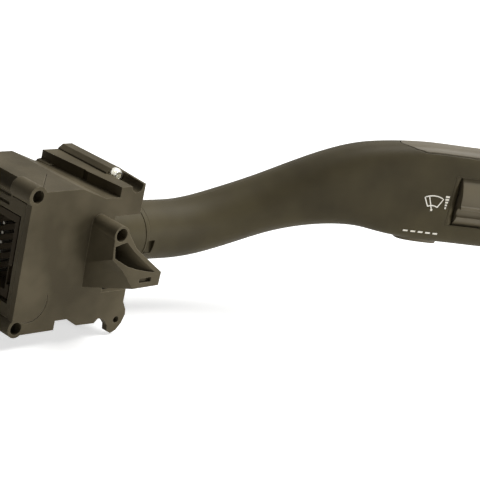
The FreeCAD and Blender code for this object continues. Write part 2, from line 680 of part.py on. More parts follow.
def detent_spring():
    """The coil spring behind the plunger, in the barrel."""
    low = PIVOT.x - val("barrel_reach") + 3.5
    high = PIVOT.x - 4.1
    wire = 0.28
    coil_radius = val("plunger") - 0.4
    turns = 5
    rise = high - low - 2 * wire
    points = []
    for number in range(turns * 16 + 1):
        turn = 2 * math.pi * number / 16
        points.append(Vector(rise * number / (turns * 16), coil_radius * math.cos(turn), coil_radius * math.sin(turn)))
    path = Part.BSplineCurve()
    path.interpolate(points)
    start = Part.Wire(Part.Circle(points[0], path.tangent(0)[0], wire).toShape())
    coil = Part.Wire(path.toShape()).makePipeShell([start], True, True)
    coil.Placement = Placement(Vector(low + wire, -val("pivot_depth"), 0), Rotation())
    return node("detent_spring", shape("detent_coil", coil))


def fixing_screw():
    """The bright screw in the tunnel, its flanged socket head at the start of the open channel."""
    at = ("tunnel_across", "deck_top + rail_height")
    flange = rod("fix_flange", "y", "fix_head", ("-fix_front + 1.0", "-fix_front + fix_head_length"), at)
    nose = rod("fix_nose", "y", "fix_head * 0.78", ("-fix_front", "-fix_front + 1.1"), at)
    shank = rod("fix_shank", "y", "fix_shank", ("-fix_front + fix_head_length - 0.1", "-fix_front + fix_length"), at)
    socket = rod("fix_socket", "y", "0.95", ("-fix_front - 1", "-fix_front + 1.4"), at)
    return node("fixing_screw", cut("fix_finished", fuse("fix_body", [flange, nose, shank]), [socket]))


def smooth(value, low, high):
    """Return an eased share from 0 at low to 1 at high."""
    share = min(max((value - low) / (high - low), 0.0), 1.0)
    return share * share * (3 - 2 * share)


class LeverPath:
    """The lever's centreline: straight out of the case, then swept towards the driver and raised."""

    STEP = 0.25

    def __init__(self):
        self.plan = []
        across = val("ring_end")
        depth = -val("pivot_depth")
        reach = 0.0
        while reach < val("paddle_reach") + val("paddle_tail") + 20:
            self.plan.append((reach, across, depth))
            heading = self.heading(across)
            across += self.STEP * math.cos(heading)
            depth -= self.STEP * math.sin(heading)
            reach += self.STEP

    @staticmethod
    def heading(across):
        return math.radians(val("sweep_angle")) * smooth(across, val("sweep_start"), val("sweep_end"))

    def point(self, reach):
        """Return the centreline's point at a distance along its plan."""
        if reach < 0:
            return Vector(val("ring_end") + reach, -val("pivot_depth"), 0)
        place = reach / self.STEP
        low = int(place)
        share = place - low
        _, ax, ay = self.plan[low]
        _, bx, by = self.plan[low + 1]
        across = ax + share * (bx - ax)
        lift = val("lever_rise") * smooth(across, val("rise_start"), val("rise_end"))
        return Vector(across, ay + share * (by - ay), lift)

    def frame(self, reach):
        """Return the point, the direction to the rear and the upward direction of the section there."""
        here = self.point(reach)
        along = self.point(reach + 0.5) - self.point(reach - 0.5)
        along.normalize()
        heading = self.heading(here.x)
        rear = Vector(math.sin(heading), math.cos(heading), 0)
        upward = rear.cross(along)
        upward = upward * (-1 if upward.z < 0 else 1)
        upward.normalize()
        return here, rear, upward

    def halves(self, reach):
        """Return the half thickness, the half height and the squareness of the section."""
        here = self.point(reach)
        swell = smooth(here.x, val("swell_start"), val("swell_end"))
        thick = val("neck_radius") + (val("paddle_thick") - val("neck_radius")) * swell
        high = val("neck_radius") + 0.1 + (val("paddle_half") - val("neck_radius")) * swell
        closing = val("paddle_reach") + val("cap_start") - 3.0
        tail = max(reach - closing, 0.0) / (val("paddle_reach") + val("paddle_tail") - closing)
        close = math.sqrt(max(1 - min(tail, 1.0) ** 2.4, 0.0))
        return thick * (0.35 + 0.65 * close), high * (0.55 + 0.45 * close), 2.0 + 1.5 * swell


def half_outline(path, reach, inset, side):
    """Return the lever's outline on one side, from its top round to its bottom, drawn in by an inset."""
    here, rear, upward = path.frame(reach)
    thick, high, square = path.halves(reach)
    thick -= inset
    high -= inset
    points = []
    count = 14
    for number in range(count + 1):
        turn = math.pi * (0.5 - number / count)
        across, up = abs(math.cos(turn)), math.sin(turn)
        if number in (0, count):
            across = 0.0
        spread = (across ** square + abs(up) ** square) ** (-1 / square)
        points.append(here + rear * (side * thick * spread * across) + upward * (high * spread * up))
    curve = Part.BSplineCurve()
    curve.interpolate(Points=points, InitialTangent=rear * side, FinalTangent=rear * -side)
    return curve.toShape(), points[0], points[-1]


def full_section(path, reach, inset):
    """Return the lever's whole closed outline at one place."""
    front, _, _ = half_outline(path, reach, inset, -1)
    rear, _, _ = half_outline(path, reach, inset, 1)
    return Part.Wire([front, rear])


def shell_section(path, reach, side):
    """Return the closed outline of one half shell at one place: outside, seam, inside, seam."""
    outside, outer_top, outer_bottom = half_outline(path, reach, 0.0, side)
    inside, inner_top, inner_bottom = half_outline(path, reach, val("shell_wall"), side)
    low_seam = Part.makeLine(outer_bottom, inner_bottom)
    top_seam = Part.makeLine(inner_top, outer_top)
    return Part.Wire([outside, low_seam, inside, top_seam])


def lofted(name, outlines):
    """Return the solid through a row of outlines."""
    form = doc.addObject("Part::Loft", name)
    form.Sections = [shape("%s_%02d" % (name, number), outline) for number, outline in enumerate(outlines)]
    form.Solid = True
    form.Ruled = False
    return form


PATH = LeverPath()
PADDLE = PATH.point(val("paddle_reach"))
PADDLE_TURN = Rotation(Vector(0, 0, 1), -val("sweep_angle"))


def on_paddle(made):
    """Return a shape drawn in the paddle's own frame (X along it, -Y its face, Z up), set in place."""
    placed = made.copy()
    placed.Placement = Placement(PADDLE, PADDLE_TURN)
    return placed


def block(x_span, y_span, z_span):
    """Return a box shape from its limits."""
    return Part.makeBox(x_span[1] - x_span[0], y_span[1] - y_span[0], z_span[1] - z_span[0],
                        Vector(x_span[0], y_span[0], z_span[0]))


def shaft(axis, radius, span, at):
    """Return a cylinder shape along X, Y or Z of its own frame."""
    ways = {"x": (Vector(span[0], at[0], at[1]), Vector(1, 0, 0)),
            "y": (Vector(at[0], span[0], at[1]), Vector(0, 1, 0)),
            "z": (Vector(at[0], at[1], span[0]), Vector(0, 0, 1))}
    base, way = ways[axis]
    return Part.makeCylinder(radius, span[1] - span[0], base, way)


# Places of the paddle's controls and screws, in the paddle's own frame.
LEVER_SCREWS = ((-14.0, -7.5), (34.9, 9.5))
WHEEL_X = (val("wheel_centre") - val("wheel_width") / 2, val("wheel_centre") + val("wheel_width") / 2)
WHEEL_Z = -0.3
WHEEL_HALF = 8.5
ROCKER_PIVOT = (12.5, 11.2)
LOW = -val("paddle_half")
HIGH = val("paddle_half")


def rocker_room(gap, sink):
    """Return the room of the top rocker, pointed at its inner end, grown by a gap and sunk for its swing."""
    left = val("rocker_left") - gap
    right = val("rocker_right") + gap
    side = val("rocker_side") + gap
    half = [(left, 0.0), (left + 0.7, 0.36 * side), (left + 2.2, 0.62 * side), (left + 4.4, 0.84 * side),
            (left + 8.0, side), (right, side)]
    outline = half + [(along, -across) for along, across in reversed(half[1:])]
    return prism(outline, (HIGH - val("rocker_depth") - sink, HIGH + 3), "xy")


def button_room(gap, sink):
    """Return the oval room of the underside button, grown by a gap and sunk for its travel."""
    long_half = (val("button_right") - val("button_left")) / 2 + gap
    middle = (val("button_right") + val("button_left")) / 2
    floor = LOW - 3
    oval = Part.Ellipse(Vector(middle, 0, floor), long_half, val("button_side") + gap).toShape()
    return Part.Face(Part.Wire(oval)).extrude(Vector(0, 0, val("button_depth") + sink + 3))


def bezel_outline(side, rise, place):
    """Return the rectangle of the wheel's window at one depth, grown to the sides and up and down."""
    left = WHEEL_X[0] - 0.6 - side
    right = WHEEL_X[1] + 0.6 + side / 2
    low = WHEEL_Z - WHEEL_HALF - rise
    top = WHEEL_Z + WHEEL_HALF + rise
    corners = [Vector(left, place, low), Vector(right, place, low), Vector(right, place, top), Vector(left, place, top)]
    return Part.makePolygon(corners + corners[:1])


def window_form(outer_side, inner_side, rise, span):
    """Return the block through the wheel's window, its sides leaning from one width to another."""
    return Part.makeLoft([bezel_outline(outer_side, rise, span[0]), bezel_outline(inner_side, rise, span[1])], True)


def paddle_parts():
    """The lever's two shells, its cap and everything that the paddle holds."""
    cap_at = val("paddle_reach") + val("cap_start")
    tail_at = val("paddle_reach") + val("paddle_tail")
    count = 17
    stations = [cap_at * number / count for number in range(count + 1)]
    closing = [cap_at + (tail_at - cap_at) * share for share in (0.0, 0.35, 0.65, 0.85, 0.97)]
    front = lofted("front_raw", [shell_section(PATH, reach, -1) for reach in stations])
    rear = lofted("rear_raw", [shell_section(PATH, reach, 1) for reach in stations])
    cap = lofted("cap_solid", [full_section(PATH, reach, 0.0) for reach in closing])
    outer = lofted("paddle_form", [full_section(PATH, reach, 0.0) for reach in stations if reach > val("paddle_reach") - 28])
    doc.recompute()

    bosses_front = []
    bosses_rear = []
    bores = []
    sinks = []
    screws = []
    for number, (along, up) in enumerate(LEVER_SCREWS):
        at = (along, up)
        bosses_front.append(shape("front_boss_%d" % number, on_paddle(shaft("y", 2.2, (-5.6, 0.0), at))))
        bosses_rear.append(shape("rear_boss_%d" % number, on_paddle(shaft("y", 2.2, (0.0, 5.6), at))))
        bores.append(shape("lever_bore_%d" % number, on_paddle(shaft("y", 1.1, (-4.6, 12.0), at))))
        sinks.append(shape("lever_sink_%d" % number, on_paddle(shaft("y", 1.9, (4.8, 12.0), at))))
        head = shaft("y", 1.7, (4.8, 6.0), at)
        screws.append(shape("lever_screw_%d" % number, on_paddle(head.fuse(shaft("y", 1.0, (-4.2, 4.9), at)))))
    node("lever_screws", group("lever_screw_set", screws))

    window = shape("wheel_window", on_paddle(window_form(2.5, 2.5, 0.34, (-12, -4.6))))
    rocker_gap = shape("rocker_gap", on_paddle(rocker_room(val("control_gap"), val("rocker_sink"))))
    button_gap = shape("button_gap", on_paddle(button_room(val("control_gap"), val("button_travel"))))
    wheel_at = (val("wheel_set"), WHEEL_Z)
    wheel_sweep = shape("wheel_sweep", on_paddle(shaft("x", val("wheel_radius") + 0.4,
                                                       (WHEEL_X[0] - 0.4, WHEEL_X[1] + 0.4), wheel_at)))
    lugs = []
    for number, (low, high) in enumerate(((WHEEL_X[0] - 2.2, WHEEL_X[0] - 0.5), (WHEEL_X[1] + 0.5, WHEEL_X[1] + 2.2))):
        lugs.append(shape("wheel_lug_%d" % number, on_paddle(block((low, high), (-1.6, 5.8), (-3.2, 3.0)))))
    across, _ = ROCKER_PIVOT
    lugs.append(shape("rocker_lug", on_paddle(block((across - 2.4, across + 2.4), (2.7, 5.6), (9.2, 12.6)))))
    pin_bores = [
        shape("wheel_pin_bore", on_paddle(shaft("x", val("wheel_pin"), (WHEEL_X[0] - 3, WHEEL_X[1] + 3), wheel_at))),
        shape("rocker_pin_bore", on_paddle(shaft("y", val("pin_radius"), (2.0, 4.7), ROCKER_PIVOT))),
    ]
    front_body = fuse("front_body", [front] + bosses_front)
    notch = box("shell_notch", ("ring_end - 1", "ring_end + 2.1"), ("-pivot_depth - 12", "-pivot_depth - 8.0"),
                ("-4.4", "0.2"))
    node("lever_front_shell", cut("front_finished", front_body,
                                  [window, wheel_sweep, rocker_gap, button_gap, notch] + bores))
    rear_body = fuse("rear_body", [rear] + bosses_rear + lugs)
    node("lever_rear_shell", cut("rear_finished", rear_body, [rocker_gap, button_gap] + bores + sinks + pin_bores))
    node("paddle_cap", cap)

    bezel = window_form(2.4, 2.4, 0.28, (-9, -6.1))
    bevel = window_form(3.3, 0.0, 0.0, (-9, -6.3)).fuse(window_form(0.0, 0.0, 0.0, (-6.4, -6.0)))
    bezel_solid = shape("bezel_solid", on_paddle(bezel.cut(bevel)))
    node("wheel_bezel", common("bezel_finished", bezel_solid, outer))

    node("trip_rocker", trip_rocker(outer))
    node("rocker_pin", shape("rocker_pin_rod", on_paddle(shaft("y", val("pin_radius"), (-2.2, 4.6), ROCKER_PIVOT))))
    node("reset_button", reset_button(outer))
    node("interval_wheel", interval_wheel())
    node("wheel_pin", shape("wheel_pin_rod", on_paddle(shaft("x", val("wheel_pin"),
                                                             (WHEEL_X[0] - 2.2, WHEEL_X[1] + 2.2), wheel_at))))
    board = block((-17.0, 12.4), (2.6, 3.8), (-9.0, 9.0)).cut(shaft("y", 2.5, (0, 6), LEVER_SCREWS[0]))
    node("paddle_board", shape("paddle_board_plate", on_paddle(board)))
    switches = [
        block((4.0, 8.6), (-2.2, 2.6), (-9.0, -4.5)).fuse(shaft("z", 0.8, (-11.8, -8.9), (6.3, 0.2))),
        block((-0.4, 4.4), (-2.0, 2.6), (5.2, 9.0)).fuse(shaft("z", 0.8, (8.9, 13.2), (2.0, 0.2))),
    ]
    node("paddle_switches", group("switch_set", [shape("switch_%d" % number, on_paddle(made))
                                                 for number, made in enumerate(switches)]))


def trip_rocker(outer):
    """The rocking strip along the paddle's top edge, with the lug of its pin."""
    across, up = ROCKER_PIVOT
    strip = common("rocker_strip", outer, shape("rocker_room", on_paddle(rocker_room(0.0, 0.0))))
    lug = shape("rocker_strip_lug", on_paddle(block((across - 2.0, across + 2.0), (-2.0, 2.4),
                                                    (up - 2.0, HIGH - val("rocker_depth") + 0.2))))
    bore = shape("rocker_strip_bore", on_paddle(shaft("y", val("pin_radius") + val("pin_fit"), (-6, 6), ROCKER_PIVOT)))
    return cut("rocker_finished", fuse("rocker_body", [strip, lug]), [bore])


def reset_button(outer):
    """The oval push button in the paddle's underside, proud by its travel, with a guide stem."""
    proud = outer.Shape.copy()
    proud.translate(Vector(0, 0, -val("button_travel")))
    cap = common("button_cap", shape("button_form", proud), shape("button_room", on_paddle(button_room(0.0, 0.0))))
    middle = (val("button_left") + val("button_right")) / 2
    roof = LOW + val("button_depth")
    stem = shape("button_stem", on_paddle(block((middle - 2.4, middle + 2.4), (-2.0, 2.4), (roof - 0.1, roof + 1.3))))
    return fuse("button_finished", [cap, stem])


def rim_point(radius, angle):
    """Return the point at a radius and an angle above the wheel's foremost line."""
    turn = math.radians(angle)
    return val("wheel_set") - radius * math.cos(turn), WHEEL_Z + radius * math.sin(turn)


def interval_wheel():
    """The thumbwheel: a sector on a hub, with a rib and a valley for the thumb."""
    across, up = val("wheel_set"), WHEEL_Z
    radius = val("wheel_radius")
    drum = shaft("x", radius, WHEEL_X, (across, up))
    edges = [Vector(WHEEL_X[0] - 1, across, up)]
    for angle in (-72, -36, 0, 36, 72):
        turn = math.radians(180 + angle)
        edges.append(Vector(WHEEL_X[0] - 1, across + 2 * radius * math.cos(turn), up - 2 * radius * math.sin(turn)))
    wedge = Part.Face(Part.makePolygon(edges + edges[:1])).extrude(Vector(val("wheel_width") + 2, 0, 0))
    sector = drum.common(wedge)
    hub = shaft("x", 3.2, WHEEL_X, (across, up))
    span = (WHEEL_X[0] - 1, WHEEL_X[1] + 1)
    valley = shaft("x", 1.7, span, rim_point(radius + 0.2, val("valley_turn")))
    rib = shaft("x", 0.8, WHEEL_X, rim_point(radius - 0.1, val("valley_turn") + 11))
    bore = shaft("x", val("wheel_pin") + val("pin_fit"), (WHEEL_X[0] - 1, WHEEL_X[1] + 1), (across, up))
    return shape("wheel_finished", on_paddle(sector.fuse([hub, rib]).cut(valley).cut(bore)))


def ribbon_cable():
    """The flat lead from the arm's end, along the hollow lever, to the paddle's board."""
    first = 22.8
    last = val("paddle_reach") - 17.3
    count = 8
    outlines = []
    for number in range(count + 1):
        here, rear, upward = PATH.frame(first + (last - first) * number / count)
        back = 1.2 * number / count + 2.0 * smooth(number, count / 2, count)
        corners = [here + rear * (back + a) + upward * b
                   for a, b in ((-0.2, -2.5), (0.2, -2.5), (0.2, 2.5), (-0.2, 2.5))]
        outlines.append(Part.makePolygon(corners + corners[:1]))
    return node("ribbon_cable", lofted("ribbon_form", outlines))


def root_collars():
    """The root sleeve and the seal ring between it and the lever."""
    at = ("-pivot_depth", "0")
    sleeve = rod("sleeve_outer", "x", "neck_radius", ("sleeve_start", "sleeve_end"), at)
    sleeve_bore = rod("sleeve_bore", "x", "arm_core + 0.1", ("sleeve_start - 1", "sleeve_end + 1"), at)
    node("root_sleeve", cut("sleeve_finished", sleeve, [sleeve_bore]))
    ring = rod("seal_outer", "x", "neck_radius + 0.15", ("sleeve_end + 0.15", "ring_end - 0.25"), at)
    ring_bore = rod("seal_bore", "x", "arm_core + 0.1", ("sleeve_end - 1", "ring_end + 1"), at)
    notch = box("seal_notch", ("sleeve_end + 0.7", "ring_end"), ("-pivot_depth - 12", "-pivot_depth - 6"),
                ("-4.4", "0.2"))
    node("seal_ring", cut("seal_finished", ring, [ring_bore, notch]))


main_housing()
end_cover()
connector_housing()
connector_pins()
back_cover()
cover_screws()
circuit_board()
contact_tracks()
contact_carriage()
wiper_contacts()
carriage_guide()
wash_switch()
detent_gate()
gimbal_ring()
cross_pin()
return_spring()
core_arm()
detent_plunger()
detent_spring()
fixing_screw()
root_collars()
paddle_parts()
ribbon_cable()


def export():
    """Check every object, then write one STEP file per sub-part."""
    doc.recompute()
    for item in doc.Objects:
        if "Invalid" in item.State or "Error" in item.State:
            raise RuntimeError("%s failed: %s" % (item.Name, item.State))
    os.makedirs("parts", exist_ok=True)
    for name, finished in nodes.items():
        solid = finished.Shape
        if solid.isNull() or not solid.isValid():
            raise RuntimeError(name + " has no valid shape")
        solid.exportStep("parts/%s.step" % name)
        low = solid.optimalBoundingBox(False, False)
        print("%-18s solids %2d  volume %9.1f  x %7.2f %7.2f  y %7.2f %7.2f  z %7.2f %7.2f" % (
            name, len(solid.Solids), solid.Volume, low.XMin, low.XMax, low.YMin, low.YMax, low.ZMin, low.ZMax))


export()
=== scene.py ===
"""Looks of the combination stalk switch: a finish for every piece, the prints, the studio and the camera."""
import json
import logging
import math
from dataclasses import dataclass, field
from enum import Enum
from typing import Any, Dict, List, Optional, Sequence, Tuple, Union

import bpy
from mathutils import Matrix, Vector

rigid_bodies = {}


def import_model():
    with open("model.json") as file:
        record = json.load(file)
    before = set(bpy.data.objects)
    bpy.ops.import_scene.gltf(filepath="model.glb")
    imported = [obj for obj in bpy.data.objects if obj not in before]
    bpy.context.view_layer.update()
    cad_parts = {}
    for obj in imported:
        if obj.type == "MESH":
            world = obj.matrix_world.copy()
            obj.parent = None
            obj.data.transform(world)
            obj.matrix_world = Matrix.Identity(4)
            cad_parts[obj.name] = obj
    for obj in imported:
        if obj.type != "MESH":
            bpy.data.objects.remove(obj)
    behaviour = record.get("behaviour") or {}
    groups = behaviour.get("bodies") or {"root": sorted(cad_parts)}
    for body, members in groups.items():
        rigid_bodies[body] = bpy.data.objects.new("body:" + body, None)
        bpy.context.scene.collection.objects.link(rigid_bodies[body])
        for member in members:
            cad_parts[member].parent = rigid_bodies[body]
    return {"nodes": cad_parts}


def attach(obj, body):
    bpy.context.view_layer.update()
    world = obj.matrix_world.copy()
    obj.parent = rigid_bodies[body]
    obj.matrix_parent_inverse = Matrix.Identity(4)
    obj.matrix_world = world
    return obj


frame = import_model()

LOG = logging.getLogger("stalk_switch")
MM = 0.001
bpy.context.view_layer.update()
Point = Tuple[float, float]
Place = Tuple[float, float, float]
Key = Union[str, int]


def linear(hex_colour: str) -> Tuple[float, float, float, float]:
    """Turn an sRGB hex value into a linear colour.

    Args:
        hex_colour: six hex digits, with or without a leading hash.

    Returns:
        Red, green and blue in linear light, and an alpha of 1.
    """
    digits = hex_colour.lstrip("#")
    parts = [int(digits[i:i + 2], 16) / 255 for i in (0, 2, 4)]
    light = [p / 12.92 if p <= 0.04045 else ((p + 0.055) / 1.055) ** 2.4 for p in parts]
    return (light[0], light[1], light[2], 1.0)


def empty_tree(owner: Union[bpy.types.Material, bpy.types.World]) -> bpy.types.NodeTree:
    """Return the node tree of a new material or world, with nothing in it.

    Args:
        owner: the material or the world.

    Returns:
        Its empty node tree.
    """
    owner.use_nodes = True
    owner.node_tree.nodes.clear()
    return owner.node_tree


def add_node(tree: bpy.types.NodeTree, kind: str, settings: Optional[Dict[Key, Any]] = None,
             links: Optional[Dict[Key, bpy.types.NodeSocket]] = None) -> bpy.types.Node:
    """Add one node with its settings and its incoming links.

    Args:
        tree: the node tree of a material or a world.
        kind: the node's type name.
        settings: values by input name or number, or by attribute name for what is no input.
        links: outputs of other nodes by input name or number.

    Returns:
        The new node.
    """
    made = tree.nodes.new(kind)
    for key, value in (settings or {}).items():
        if isinstance(key, int) or key in made.inputs:
            made.inputs[key].default_value = value
        else:
            setattr(made, key, value)
    for key, output in (links or {}).items():
        tree.links.new(output, made.inputs[key])
    return made


# The pale tone of the edges: partly real wear where they are handled and rubbed, partly a painted highlight
# along them.
WEAR_AND_HIGHLIGHT_TONE = "#a79d86"
# The cosine between the rounded and the true normal, where the pale edge of wear and painted highlight
# starts and where it is full.
PALE_EDGE_START = 0.995
PALE_EDGE_FULL = 0.85
# The grain averages one half, so the pale edge is doubled before the grain breaks it up.
PALE_EDGE_GAIN = 2
# How far roughness follows the grain, up and down.
ROUGH_SWING = 0.06
# The bands of the noises that are used, around their mean.
CLOUD_BAND = (0.35, 0.65)
GRAIN_BAND = (0.3, 0.7)
# How many finer layers each noise has, and how much of each layer the grain keeps.
CLOUD_LAYERS = 3.0
GRAIN_LAYERS = 4.0
TURNED_LAYERS = 2.0
GRAIN_KEEP = 0.6
# The lines of turned and drawn metal: the grain is drawn out along Y.
TURNED_SCALE = (1.0, 0.05, 1.0)
EDGE_SAMPLES = 6
WHITE = (1.0, 1.0, 1.0, 1.0)
PAPER_TONE = "#e6e6e4"
# Points of a print that lie closer than this, in metres, are welded.
WELD = 0.00001
# The two colour inputs and the colour output of a Mix node set to colours.
MIX_A = 6
MIX_B = 7
MIX_COLOUR = 2


class Grain(Enum):
    """How a surface was textured: a moulding's in its tool, a metal's by turning or drawing."""

    SPARKED = "spark-eroded, an even fine leather-like grain"
    POLISHED = "stoned smooth, with only a trace of flow"
    TURNED = "fine straight lines"

    def strength(self) -> float:
        """Return how strongly the grain shows as bump."""
        return 0.35 if self is Grain.POLISHED else 0.8


@dataclass(frozen=True)
class Finish:
    """A finish: a base tone, a slow change of tone, a fine grain, and rounded edges painted pale as wear and
    painted highlight.
    """

    name: str
    tone: str
    tone_low: str
    roughness: float
    grain_mm: float
    grain_depth_mm: float
    metallic: float = 0.0
    specular: float = 0.5
    edge_mm: float = 0.3
    edge_wear_and_highlight: float = 0.0
    patch_mm: float = 14.0
    grain: Grain = Grain.SPARKED

    def wear_and_highlight(self, tree: bpy.types.NodeTree, tone: bpy.types.NodeSocket, rounded: bpy.types.NodeSocket,
             grain: bpy.types.NodeSocket) -> bpy.types.NodeSocket:
        """Paint the edges pale where the rounded normal turns away from the face's own: partly wear, partly
        a painted highlight.

        Args:
            tree: the material's nodes.
            tone: the base tone.
            rounded: the normal with rounded edges.
            grain: the fine grain, which breaks the pale edges up.

        Returns:
            The tone with its pale edges of wear and painted highlight.
        """
        if self.edge_wear_and_highlight == 0:
            return tone
        # Painted highlight and wear: the edges are mixed toward the pale tone.
        face = add_node(tree, "ShaderNodeNewGeometry")
        turned = add_node(tree, "ShaderNodeVectorMath", {"operation": "DOT_PRODUCT"},
                          {0: rounded, 1: face.outputs["Normal"]})
        edge = add_node(tree, "ShaderNodeMapRange",
                        {"From Min": PALE_EDGE_START, "From Max": PALE_EDGE_FULL,
                         "To Min": 0.0, "To Max": PALE_EDGE_GAIN * self.edge_wear_and_highlight},
                        {"Value": turned.outputs["Value"]})
        pale_edge = add_node(tree, "ShaderNodeMath", {"operation": "MULTIPLY"},
                       {0: edge.outputs["Result"], 1: grain})
        mix = add_node(tree, "ShaderNodeMix", {"data_type": "RGBA", MIX_B: linear(WEAR_AND_HIGHLIGHT_TONE)},
                       {"Factor": pale_edge.outputs[0], MIX_A: tone})
        return mix.outputs[MIX_COLOUR]

    def grain_noise(self, tree: bpy.types.NodeTree, place: bpy.types.NodeSocket) -> bpy.types.NodeSocket:
        """Draw the fine grain at its real size.

        Args:
            tree: the material's nodes.
            place: the point on the piece.

        Returns:
            The grain's height, around one half.
        """
        scale = 1 / (self.grain_mm * MM)
        if self.grain is Grain.TURNED:
            drawn = add_node(tree, "ShaderNodeMapping", {"Scale": TURNED_SCALE}, {"Vector": place})
            noise = add_node(tree, "ShaderNodeTexNoise", {"Scale": scale, "Detail": TURNED_LAYERS},
                             {"Vector": drawn.outputs["Vector"]})
        else:
            noise = add_node(tree, "ShaderNodeTexNoise",
                             {"Scale": scale, "Detail": GRAIN_LAYERS, "Roughness": GRAIN_KEEP},
                             {"Vector": place})
        return noise.outputs["Fac"]

    def build(self) -> bpy.types.Material:
        """Build the material.

        Returns:
            The material, ready for any piece whose place is in its mesh.
        """
        material = bpy.data.materials.new(self.name)
        tree = empty_tree(material)
        place = add_node(tree, "ShaderNodeTexCoord").outputs["Object"]
        grain = self.grain_noise(tree, place)
        clouds = add_node(tree, "ShaderNodeTexNoise",
                          {"Scale": 1 / (self.patch_mm * MM), "Detail": CLOUD_LAYERS}, {"Vector": place})
        spread = add_node(tree, "ShaderNodeMapRange",
                          {"From Min": CLOUD_BAND[0], "From Max": CLOUD_BAND[1],
                           "To Min": 0.0, "To Max": 1.0}, {"Value": clouds.outputs["Fac"]})
        tone = add_node(tree, "ShaderNodeMix",
                        {"data_type": "RGBA", MIX_A: linear(self.tone_low), MIX_B: linear(self.tone)},
                        {"Factor": spread.outputs["Result"]})
        rough = add_node(tree, "ShaderNodeMapRange",
                         {"From Min": GRAIN_BAND[0], "From Max": GRAIN_BAND[1],
                          "To Min": self.roughness - ROUGH_SWING, "To Max": self.roughness + ROUGH_SWING},
                         {"Value": grain})
        rounded = add_node(tree, "ShaderNodeBevel", {"Radius": self.edge_mm * MM, "samples": EDGE_SAMPLES})
        tone_with_pale_edges = self.wear_and_highlight(tree, tone.outputs[MIX_COLOUR], rounded.outputs["Normal"], grain)
        bump = add_node(tree, "ShaderNodeBump",
                        {"Strength": self.grain.strength(), "Distance": self.grain_depth_mm * MM},
                        {"Height": grain, "Normal": rounded.outputs["Normal"]})
        shader = add_node(tree, "ShaderNodeBsdfPrincipled",
                          {"Metallic": self.metallic, "Specular IOR Level": self.specular},
                          {"Base Color": tone_with_pale_edges, "Roughness": rough.outputs["Result"],
                           "Normal": bump.outputs["Normal"]})
        add_node(tree, "ShaderNodeOutputMaterial", {}, {"Surface": shader.outputs["BSDF"]})
        return material


# Glass-filled nylon, moulded in a spark-eroded tool: dull, dark warm olive grey, slightly cloudy in tone.
HOUSING_NYLON = Finish("housing_glass_filled_nylon", "#5d5543", "#494232", 0.6, 0.45, 0.03,
                       specular=0.08, edge_wear_and_highlight=0.3, patch_mm=17.0)
# The same nylon in a darker brown, for the socket and for the guides and switches inside.
SOCKET_NYLON = Finish("socket_dark_nylon", "#453d2f", "#372f24", 0.6, 0.4, 0.02,
                      specular=0.05)
# ABS with a fine leather grain that the hand polishes: an even satin.
LEVER_ABS = Finish("lever_grained_abs", "#4b4431", "#3b3526", 0.55, 0.38, 0.03,
                   specular=0.1, edge_wear_and_highlight=0.12, patch_mm=24.0)
# ABS of the controls, slightly paler, from a smoother tool.
CONTROL_ABS = Finish("control_satin_abs", "#655d4b", "#595140", 0.46, 0.3, 0.015,
                     specular=0.2, edge_wear_and_highlight=0.2, patch_mm=30.0)
# Acetal, unpainted: milky and slightly waxy.
ARM_ACETAL = Finish("arm_natural_acetal", "#cfc8b6", "#c2baa6", 0.42, 0.6, 0.01,
                    grain=Grain.POLISHED)
# Epoxy laminate under a green solder mask: even, with a faint grain.
BOARD_LAMINATE = Finish("board_green_laminate", "#1f4a2c", "#193f25", 0.38, 0.5, 0.01,
                        grain=Grain.POLISHED)
# Rolled brass strip: warm and bright.
CONTACT_BRASS = Finish("contact_rolled_brass", "#d0aa5c", "#bf9748", 0.28, 0.2, 0.004, 1.0,
                       grain=Grain.TURNED)
# Tinned brass blades, their tin painted dark grey: painted shade for the shade deep in the socket.
SHADED_TERMINAL_TIN = Finish("terminal_tinned_brass", "#6e6b63", "#5f5c55", 0.45, 0.2, 0.004, 1.0,
                      grain=Grain.TURNED)
# Zinc-plated steel, clear passivated: nearly white, softly bright.
SCREW_ZINC = Finish("screw_zinc_plated_steel", "#f2f0e6", "#e6e3d6", 0.3, 0.25, 0.006, 1.0,
                    grain=Grain.TURNED)
# Steel under a dark grey zinc phosphate, lightly oiled: the screws that hold the mouldings together.
SCREW_PHOSPHATE = Finish("screw_phosphated_steel", "#5e5b54", "#4f4c46", 0.42, 0.25, 0.006, 1.0,
                         grain=Grain.TURNED)
# Ground steel pins: bright, with fine lines.
PIN_STEEL = Finish("pin_ground_steel", "#b9b8b5", "#adaca9", 0.24, 0.15, 0.003, 1.0,
                   grain=Grain.TURNED)
# Drawn spring wire and strip, oiled: grey and darkly bright.
SPRING_STEEL = Finish("spring_drawn_steel", "#8b8985", "#7d7b77", 0.32, 0.15, 0.003, 1.0,
                      grain=Grain.TURNED)
# PVC jacket of the flat cable: black, slightly dull.
CABLE_PVC = Finish("cable_black_pvc", "#26241f", "#201e1a", 0.5, 0.8, 0.01,
                   grain=Grain.POLISHED)
# Pad-printed ink: off-white, a little worn, nearly flat.
PRINT_INK = Finish("print_white_ink", "#fdf9ee", "#efe9da", 0.6, 0.2, 0.004,
                   edge_mm=0.02, patch_mm=3.0, grain=Grain.POLISHED)


